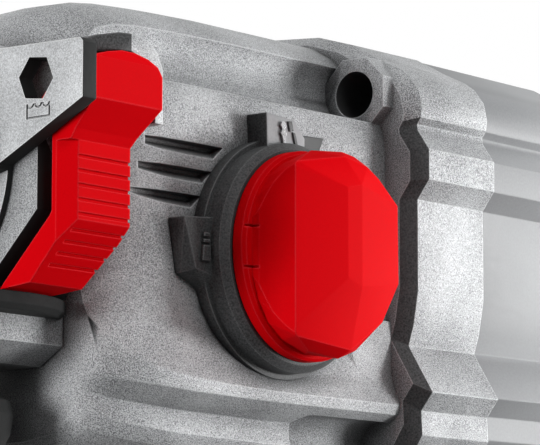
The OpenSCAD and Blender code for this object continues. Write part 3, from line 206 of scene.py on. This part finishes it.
MATERIALS = {
    # die-cast magnesium under silver-grey lacquer: a satin surface whose cast grain shows as
    # fine light and dark specks; the real grain is about 0.1 mm and is drawn coarser to show
    # its recesses get broad painted shade, and its corners a painted highlight that also stands
    # for worn lacquer
    "casing": grained(
        "lacquered_die_cast", "#58595b", "#d3d5d7", grain_mm=0.26, bump_mm=0.14,
        roughness=0.45, metallic=0.15, specular=0.35, contrast=0.16,
        edge="#e2e4e6", grime=0.85, grime_mm=14),
    # the same lacquer on the clamp, a lighter silver with corners painted white, as highlight
    # and rubbed lacquer, and painted shade in recesses
    "clamp_casting": grained(
        "lacquered_clamp_casting", "#9b9c9e", "#dddfe1", grain_mm=0.28, bump_mm=0.08,
        roughness=0.45, metallic=0.15, specular=0.4, contrast=0.17,
        edge="#ffffff", grime=0.5),
    # moulded nylon, light grey: a plain smooth face beside the grainy casting
    "motor_shell": grained(
        "moulded_grey_nylon", "#8b8c8e", "#9b9d9f", grain_mm=0.5, bump_mm=0.012,
        roughness=0.5, metallic=0.0),
    # moulded nylon, charcoal, from a spark-eroded mould: dull with a sandy texture, with a
    # lighter painted highlight on corners and painted shade in recesses
    "dark_plastic": grained(
        "moulded_charcoal_nylon", "#262728", "#58595a", grain_mm=0.42, bump_mm=0.05,
        roughness=0.5, metallic=0.0, specular=0.2, contrast=0.2,
        edge="#8c8d8e", grime=0.45),
    # moulded ABS, signal red: one strong even colour, with corners a little lighter as a
    # painted highlight and faint painted shade in recesses
    "red_plastic": grained(
        "moulded_red_abs", "#df000b", "#e8020e", grain_mm=0.35, bump_mm=0.006,
        roughness=0.65, metallic=0.0, specular=0.02,
        edge="#ff4048", grime=0.1, grime_mm=5),
    # moulded rubber: near black and dull, so that grips read as soft
    "rubber": grained(
        "moulded_black_rubber", "#0e0f0f", "#1b1c1c", grain_mm=0.6, bump_mm=0.03,
        roughness=0.75, metallic=0.0, specular=0.25),
    # moulded nylon, black: smooth, a little glossier than the rubber
    "switch_plastic": grained(
        "moulded_black_nylon", "#1a1a1b", "#262627", grain_mm=0.6, bump_mm=0.01,
        roughness=0.5, metallic=0.0),
    # turned and ground steel: bright, with clear reflections
    "steel": grained(
        "turned_steel", "#8d9093", "#a9acaf", grain_mm=0.8, bump_mm=0.004,
        roughness=0.28, metallic=1.0),
    # stacked steel sheet: darker and duller than the turned parts
    "core_steel": grained(
        "laminated_core_steel", "#55585b", "#6d7073", grain_mm=0.5, bump_mm=0.01,
        roughness=0.45, metallic=1.0),
    # enamelled copper wire: warm brown-red sheen
    "copper": grained(
        "enamelled_copper", "#a35a2c", "#bb7040", grain_mm=0.4, bump_mm=0.01,
        roughness=0.35, metallic=1.0),
    # machined brass: yellow, with clear reflections
    "brass": grained(
        "machined_brass", "#a98b45", "#bfa25c", grain_mm=0.8, bump_mm=0.004,
        roughness=0.3, metallic=1.0),
    # pressed carbon: dull black of the brushes
    "carbon": grained(
        "pressed_carbon", "#1b1b1b", "#2b2b2b", grain_mm=0.5, bump_mm=0.01,
        roughness=0.6, metallic=0.0),
}


def wear(piece, slot_name):
    """Gives a piece the finish of a record slot."""
    piece.data.materials.clear()
    piece.data.materials.append(MATERIALS[slot_name])


for node_name, solid in NODES.items():
    slots = solid.data.materials
    if not slots:
        slots.append(None)
    for i in range(len(slots)):
        slots[i] = MATERIALS[SLOT[node_name]]


# ---------- pieces from CAD solids with softened edges ----------

WELD_MM = 0.002     # the CAD mesh's loose triangles are joined within this
COPLANAR = 0.6      # degrees within which faces count as one flat face
SOFT_SEGMENTS = 3   # steps across a rounded edge


def softened(node_name, width_mm, angle=28, join=True, second=()):
    """A merged copy of a CAD solid with its edges rounded, in the solid's place.

    Edges that turn by more than angle degrees are rounded. join makes one face of
    flat neighbours and shades the piece smooth. second holds pairs of a finish and a
    test; faces that pass the test take that finish.
    """
    work = bmesh.new()
    work.from_mesh(NODES[node_name].data)
    bmesh.ops.remove_doubles(work, verts=work.verts, dist=WELD_MM * MM)
    if join:
        bmesh.ops.dissolve_limit(work, angle_limit=math.radians(COPLANAR),
                                 verts=work.verts, edges=work.edges)
    for face in work.faces:
        face.smooth = join
    mesh = meshed(node_name + "_skin", work)
    piece = in_scene(node_name + "_skin", mesh)
    bevel = piece.modifiers.new("soft_edges", "BEVEL")
    bevel.width = width_mm * MM
    bevel.segments = SOFT_SEGMENTS
    bevel.limit_method = "ANGLE"
    bevel.angle_limit = math.radians(angle)
    bevel.harden_normals = True
    bevel.use_clamp_overlap = True
    wear(piece, SLOT[node_name])
    for finish, test in second:
        mesh.materials.append(MATERIALS[finish])
        for face in mesh.polygons:
            if test(face):
                face.material_index = len(mesh.materials) - 1
    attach(piece, BODY[node_name])
    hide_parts(node_name)


POCKET_Y, POCKET_Z, POCKET_R = 29.7 * MM, 29 * MM, 5.5 * MM


def pocket_in_painted_shade(face):
    """Whether a face is the wall of one of the two upper screw pockets, which takes a black
    finish as painted shade.
    """
    across = math.hypot(abs(face.center.y) - POCKET_Y, face.center.z - POCKET_Z)
    return abs(face.normal.x) < 0.5 and across < POCKET_R


def flange_front_in_painted_shade(face):
    """Whether a face of the flange looks forward beside the gear housing, in its shade; such
    faces take a dark finish as painted shade.
    """
    aside, up = abs(face.center.y), face.center.z
    return face.normal.x < -0.2 and (aside > 31 * MM and up < 16 * MM
                                     or aside > 38 * MM and up < 22 * MM)


def label_plate(face):
    """Whether a face is the front of the plate above the knob."""
    return face.normal.y < -0.9 and face.center.z > 10 * MM


def fore_or_aft(face):
    """Whether a face of the clamp looks along the tool, where its lacquer shows."""
    return abs(face.normal.x) > 0.7


CLAMP_SPLIT_X = 80.3 * MM
GAUGE_Y, GAUGE_Z, GAUGE_RIM_R = -40 * MM, 15 * MM, 8 * MM


def rubber_rim(face):
    """Whether a face is the gauge hole's wall, or the clamp's rim below and beside it."""
    x, y, z = face.center
    near_hole = math.hypot(y - GAUGE_Y, z - GAUGE_Z) < GAUGE_RIM_R
    lower_rim = y < -22 * MM and z < 12 * MM and not fore_or_aft(face)
    return x < CLAMP_SPLIT_X and (near_hole or lower_rim)


def upper_rim(face):
    """Whether a face is the clamp's rim above the gauge hole."""
    x, y, z = face.center
    return x < CLAMP_SPLIT_X and y < -36 * MM and z > 12 * MM and face.normal.z > -0.2


softened("gear_housing", 0.8)
# the flange's shaded forward faces take charcoal nylon and its upper pocket walls black nylon,
# both as painted shade
softened("flange_housing", 0.8, second=[
    ("dark_plastic", flange_front_in_painted_shade), ("switch_plastic", pocket_in_painted_shade)])
softened("motor_housing", 0.8)
softened("selector_collar", 0.5, second=[("motor_shell", label_plate)])
softened("mode_knob", 0.45, angle=7)
softened("side_clamp_front", 0.6, second=[
    ("clamp_casting", fore_or_aft), ("rubber", lambda face: not fore_or_aft(face))])
softened("side_clamp_base", 0.6, second=[("rubber", rubber_rim), ("dark_plastic", upper_rim)])
softened("gauge_button", 0.12, join=False)


# ---------- small pieces ----------

def placed(name, work, finish, body):
    """A piece from its finished bmesh, in a slot's finish and on a body."""
    bmesh.ops.recalc_face_normals(work, faces=work.faces)
    piece = in_scene(name, meshed(name, work))
    wear(piece, finish)
    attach(piece, body)


def pushed(work, corners, push, edge_mm):
    """Adds a flat outline pushed through its thickness, with its far edges rounded."""
    start = work.faces.new([work.verts.new(Vector(c) * MM) for c in corners])
    grown = bmesh.ops.extrude_face_region(work, geom=[start])["geom"]
    far = [v for v in grown if isinstance(v, bmesh.types.BMVert)]
    bmesh.ops.translate(work, verts=far, vec=Vector(push) * MM)
    edges = dict.fromkeys(e for v in far for e in v.link_edges)
    bmesh.ops.bevel(work, geom=list(edges), offset=edge_mm * MM, offset_type="OFFSET",
                    segments=2, profile=0.5, affect="EDGES", material=-1, clamp_overlap=True)


def on_side(outline, depth):
    """Corners of an outline in X and Z, set on the left side at a depth from the middle."""
    return [(x, -depth, z) for x, z in outline]


PLATE_FACE, BLOCK_FACE, HOUSING_FACE = 41.5, 40.3, 35.9     # mm from the middle, to the left

# pointer mark beside the label plate, dark inlay
POINTER = [(150.8, 15.2), (160.3, 15.5), (158.3, 11.4), (152.6, 11.2)]
work = bmesh.new()
pushed(work, on_side(POINTER, HOUSING_FACE), (0, -0.3, 0), 0.08)
placed("pointer_mark", work, "switch_plastic", BODY["gear_housing"])

# raised signs on the label plate: a drill bit and a hammer
BIT = [(139.3, 15.9), (140.1, 15.0), (139.5, 14.2), (140.2, 13.2), (139.6, 12.4),
       (140.0, 10.6), (139.0, 10.6), (138.7, 12.4), (138.2, 13.2), (138.7, 14.2),
       (138.1, 15.0), (138.6, 15.9)]
HEAD = [(140.9, 16.2), (142.3, 16.4), (142.9, 14.3), (141.5, 14.0)]
HANDLE = [(142.5, 14.0), (143.4, 13.9), (144.7, 10.2), (143.6, 10.2)]
work = bmesh.new()
pushed(work, on_side(BIT, PLATE_FACE), (0, -0.8, 0), 0.12)
placed("bit_sign", work, "casing", BODY["selector_collar"])
work = bmesh.new()
for outline in (HEAD, HANDLE):
    pushed(work, on_side(outline, PLATE_FACE), (0, -0.5, 0), 0.1)
placed("hammer_sign", work, "switch_plastic", BODY["selector_collar"])

# raised sign on the block at nine o'clock: a drill bit above its chuck and body
SIGN_X, SIGN_TAPER = 115.0, 0.8
DRILL_STEPS = ((-12.0, -11.1, 1.1), (-13.3, -12.5, 1.2), (-17.2, -13.8, 1.4))
work = bmesh.new()
for low, high, half in DRILL_STEPS:
    slim = half * SIGN_TAPER
    step = [(SIGN_X - half, low), (SIGN_X + half, low), (SIGN_X + slim, high),
            (SIGN_X - slim, high)]
    pushed(work, on_side(step, BLOCK_FACE), (0, -0.9, 0), 0.15)
placed("drill_sign", work, "dark_plastic", BODY["selector_collar"])

# tooth of the button, seen through the gauge hole
TOOTH = [(68.0, -37.0, 11.6), (68.0, -39.9, 11.6), (68.0, -39.9, 13.6), (68.0, -38.6, 13.2)]
work = bmesh.new()
pushed(work, TOOTH, (3.0, 0, 0), 0.2)
placed("button_tooth", work, "red_plastic", BODY["gauge_button"])


# ---------- coil springs ----------

X, Y, Z = range(3)
SECTION_SIDES, STEPS_PER_TURN = 10, 28      # facets round the wire and along one turn


def unit(axis):
    """A vector of length 1 along an axis."""
    return Vector([1.0 if i == axis else 0.0 for i in range(3)])


def coil_spring(node_name, axis, wire_mm, turns):
    """A wound spring in the place of a CAD solid, along an axis.

    The places where its high end would stay and its low end be pressed are worked out but not
    used.
    """
    low, high = (Vector(corner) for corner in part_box(node_name))
    middle = (low + high) / 2
    across = (axis + 1) % 3
    wire = wire_mm * MM
    ring = (high[across] - low[across]) / 2 - wire / 2
    reach = high[axis] - low[axis] - wire
    steps = round(turns * STEPS_PER_TURN)
    start = middle.copy()
    start[axis] = low[axis] + wire / 2
    seat = start.copy()
    seat[across] += ring
    work = bmesh.new()
    section = bmesh.ops.create_circle(
        work, cap_ends=True, radius=wire / 2, segments=SECTION_SIDES)["verts"]
    tangent = unit(axis).cross(unit(across))
    bmesh.ops.rotate(work, verts=section, cent=(0, 0, 0),
                     matrix=unit(Z).rotation_difference(tangent).to_matrix())
    bmesh.ops.translate(work, verts=section, vec=seat)
    bmesh.ops.spin(work, geom=work.verts[:] + work.edges[:] + work.faces[:], cent=start,
                   axis=unit(axis), dvec=unit(axis) * (reach / steps),
                   angle=2 * math.pi * turns, steps=steps, use_merge=False)
    bmesh.ops.recalc_face_normals(work, faces=work.faces)
    for face in work.faces:
        face.smooth = len(face.verts) == 4
    piece = in_scene(node_name + "_coil", meshed(node_name + "_coil", work))
    wear(piece, SLOT[node_name])
    still, pressed = middle.copy(), middle.copy()
    still[axis], pressed[axis] = high[axis], low[axis]
    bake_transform(piece)
    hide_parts(node_name)


coil_spring("sleeve_spring", X, 1.4, 6)
coil_spring("button_spring", Y, 0.9, 5)


# ---------- floor and backdrop ----------

WHITE = linear("#ffffff")


def sees_backdrop(tree):
    """1 for rays that show the white backdrop: from the camera, mirrored or through glass."""
    rays = add(tree, "ShaderNodeLightPath")
    mirrored = add(tree, "ShaderNodeMath", {
        0: rays.outputs["Is Glossy Ray"], 1: rays.outputs["Is Transmission Ray"]},
        operation="MAXIMUM")
    either = add(tree, "ShaderNodeMath", {
        0: rays.outputs["Is Camera Ray"], 1: mirrored.outputs["Value"]}, operation="MAXIMUM")
    return either.outputs["Value"]


FLOOR_HALF, FLOOR_X, FLOOR_GAP = 3.0, 0.2, 0.001    # half width, middle, gap under the grip
FADE_FROM, FADE_TO = 0.45, 1.8      # distances between which floor turns into backdrop
NEAR_WHITE = 0.68                   # share of plain white near the object; the rest is paper


def floor():
    """A matt paper floor that keeps the shadow and fades into the white backdrop.

    Its dark tone for all other rays keeps it from lighting the object from below.
    """
    work = bmesh.new()
    bmesh.ops.create_grid(work, x_segments=1, y_segments=1, size=FLOOR_HALF)
    bmesh.ops.translate(work, verts=work.verts, vec=(FLOOR_X, 0, CAD_BOX[0][2] - FLOOR_GAP))
    made, tree, place = material("matt_white_paper")
    seen = sees_backdrop(tree)
    tone = blended(tree, seen, linear("#3c3c3c"), linear("#e9e9e7"))
    paper = add(tree, "ShaderNodeBsdfPrincipled", {"Base Color": tone, "Roughness": 0.9})
    glow = add(tree, "ShaderNodeEmission", {"Color": WHITE, "Strength": 1.0})
    distance = add(tree, "ShaderNodeVectorMath", {0: place}, operation="LENGTH")
    faded = add(tree, "ShaderNodeMapRange", {
        "Value": distance.outputs["Value"], "From Min": FADE_FROM, "From Max": FADE_TO,
        "To Min": NEAR_WHITE, "To Max": 1.0})
    share = add(tree, "ShaderNodeMath", {0: seen, 1: faded.outputs["Result"]},
                operation="MULTIPLY")
    sheet = add(tree, "ShaderNodeMixShader", {
        "Fac": share.outputs["Value"], 1: paper.outputs["BSDF"], 2: glow.outputs["Emission"]})
    add(tree, "ShaderNodeOutputMaterial", {"Surface": sheet.outputs["Shader"]})
    mesh = meshed("floor", work)
    mesh.materials.append(made)
    in_scene("floor", mesh)


floor()

world = bpy.data.worlds.new("studio")
bpy.context.scene.world = world
world.use_nodes = True
sky = world.node_tree
sky.nodes.clear()
ambient = add(sky, "ShaderNodeBackground", {"Color": WHITE, "Strength": 0.05})
backdrop = add(sky, "ShaderNodeBackground", {"Color": WHITE, "Strength": 1.0})
studio = add(sky, "ShaderNodeMixShader", {
    "Fac": sees_backdrop(sky), 1: ambient.outputs["Background"],
    2: backdrop.outputs["Background"]})
add(sky, "ShaderNodeOutputWorld", {"Surface": studio.outputs["Shader"]})


# ---------- lamps and camera ----------

def softbox(name, place, aim, width, height, watts):
    """A rectangular studio lamp that faces a point."""
    lamp = bpy.data.lights.new(name, "AREA")
    lamp.shape = "RECTANGLE"
    lamp.size = width
    lamp.size_y = height
    lamp.energy = watts
    made = in_scene(name, lamp)
    made.location = place
    made.rotation_euler = (Vector(aim) - Vector(place)).to_track_quat("-Z", "Y").to_euler()


softbox("key_right", (0.95, -0.24, 0.10), (0.17, -0.04, 0.0), 0.25, 0.35, 2.9)
softbox("key_low", (0.70, -0.65, -0.09), (0.17, -0.04, 0.0), 0.22, 0.15, 5.3)
softbox("left", (-0.85, 0.12, 0.02), (0.06, -0.04, 0.0), 0.22, 0.25, 6.2)
softbox("front", (-0.10, -0.90, 0.55), (0.12, -0.04, 0.0), 0.4, 0.4, 3.0)
softbox("top", (0.10, -0.10, 0.95), (0.12, -0.04, 0.0), 0.4, 0.4, 1.9)
softbox("behind", (0.25, 0.95, 0.25), (0.15, 0.04, 0.0), 0.5, 0.4, 5.5)

AZIMUTH, ELEVATION = math.radians(-50.0), math.radians(-8.2)
CAMERA_AT = (-0.4246, -0.5113, -0.1121)
LENS_MM, SENSOR_MM = 226.7, 36

lens = bpy.data.cameras.new("view")
lens.sensor_width = SENSOR_MM
lens.lens = LENS_MM
camera = in_scene("view", lens)
backwards = Vector((math.sin(AZIMUTH) * math.cos(ELEVATION),
                    -math.cos(AZIMUTH) * math.cos(ELEVATION), math.sin(ELEVATION)))
camera.location = CAMERA_AT
camera.rotation_euler = backwards.to_track_quat("Z", "Y").to_euler()
bpy.context.scene.camera = camera
bpy.context.scene.view_settings.view_transform = "Standard"
